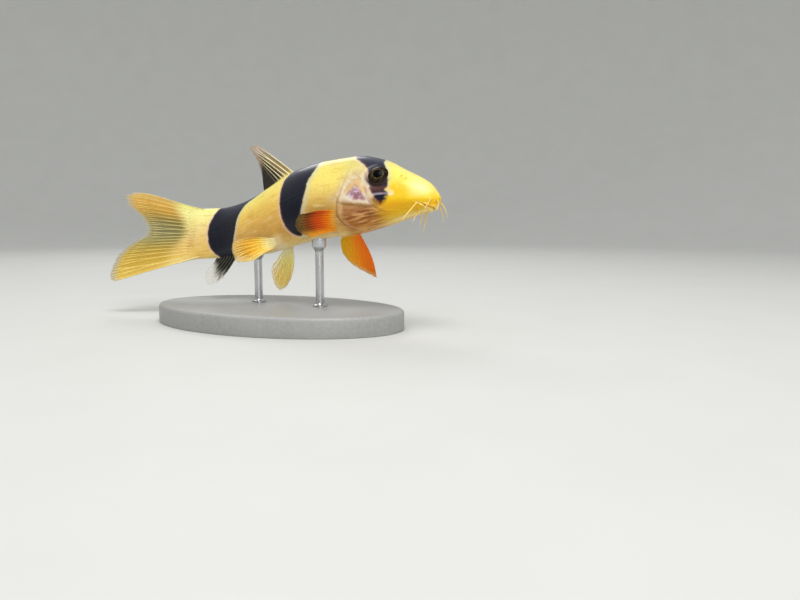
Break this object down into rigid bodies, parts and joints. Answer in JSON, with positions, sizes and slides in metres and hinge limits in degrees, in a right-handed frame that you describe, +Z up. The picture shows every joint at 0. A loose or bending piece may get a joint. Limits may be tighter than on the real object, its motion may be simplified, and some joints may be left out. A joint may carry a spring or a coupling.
{
  "type": "clown loach",
  "caption": "Life-size still model of a swimming clown loach, nose a little up and body gently curved, held over an oval base by two short rods.",
  "frame": {"origin": "centre of the stand base's flat underside", "axes": "+X towards the fish's head, +Y towards its left side, +Z up from the floor"},
  "size_m": [0.1052, 0.042, 0.0491],
  "materials": {
    "skin": "yellow with three broad blue-black bands, moist sheen",
    "eye": "glossy black pupil with a thin olive ring",
    "orange_fin": "orange-red fin with fine rays",
    "yellow_fin": "yellow, partly see-through fin with fine rays",
    "dark_fin": "black fin with pale rays and clear edges",
    "barbel": "pale flesh",
    "stand_base": "plain satin grey",
    "stand_rod": "satin"
  },
  "bodies": {
    "root": {"head": "skin", "torso": "skin", "tail_stem": "skin", "eye_right": "eye", "eye_left": "eye", "dorsal_fin": "dark_fin", "anal_fin": "dark_fin", "tail_fin": "yellow_fin", "pectoral_fin_right": "orange_fin", "pectoral_fin_left": "orange_fin", "pelvic_fin_right": "yellow_fin", "pelvic_fin_left": "yellow_fin", "barbel_rostral_inner_right": "barbel", "barbel_rostral_inner_left": "barbel", "barbel_rostral_outer_right": "barbel", "barbel_rostral_outer_left": "barbel", "barbel_maxillary_right": "barbel", "barbel_maxillary_left": "barbel", "barbel_mandibular_right": "barbel", "barbel_mandibular_left": "barbel", "stand_base": "stand_base", "stand_rod_front": "stand_rod", "stand_rod_rear": "stand_rod"}
  },
  "joints": []
}
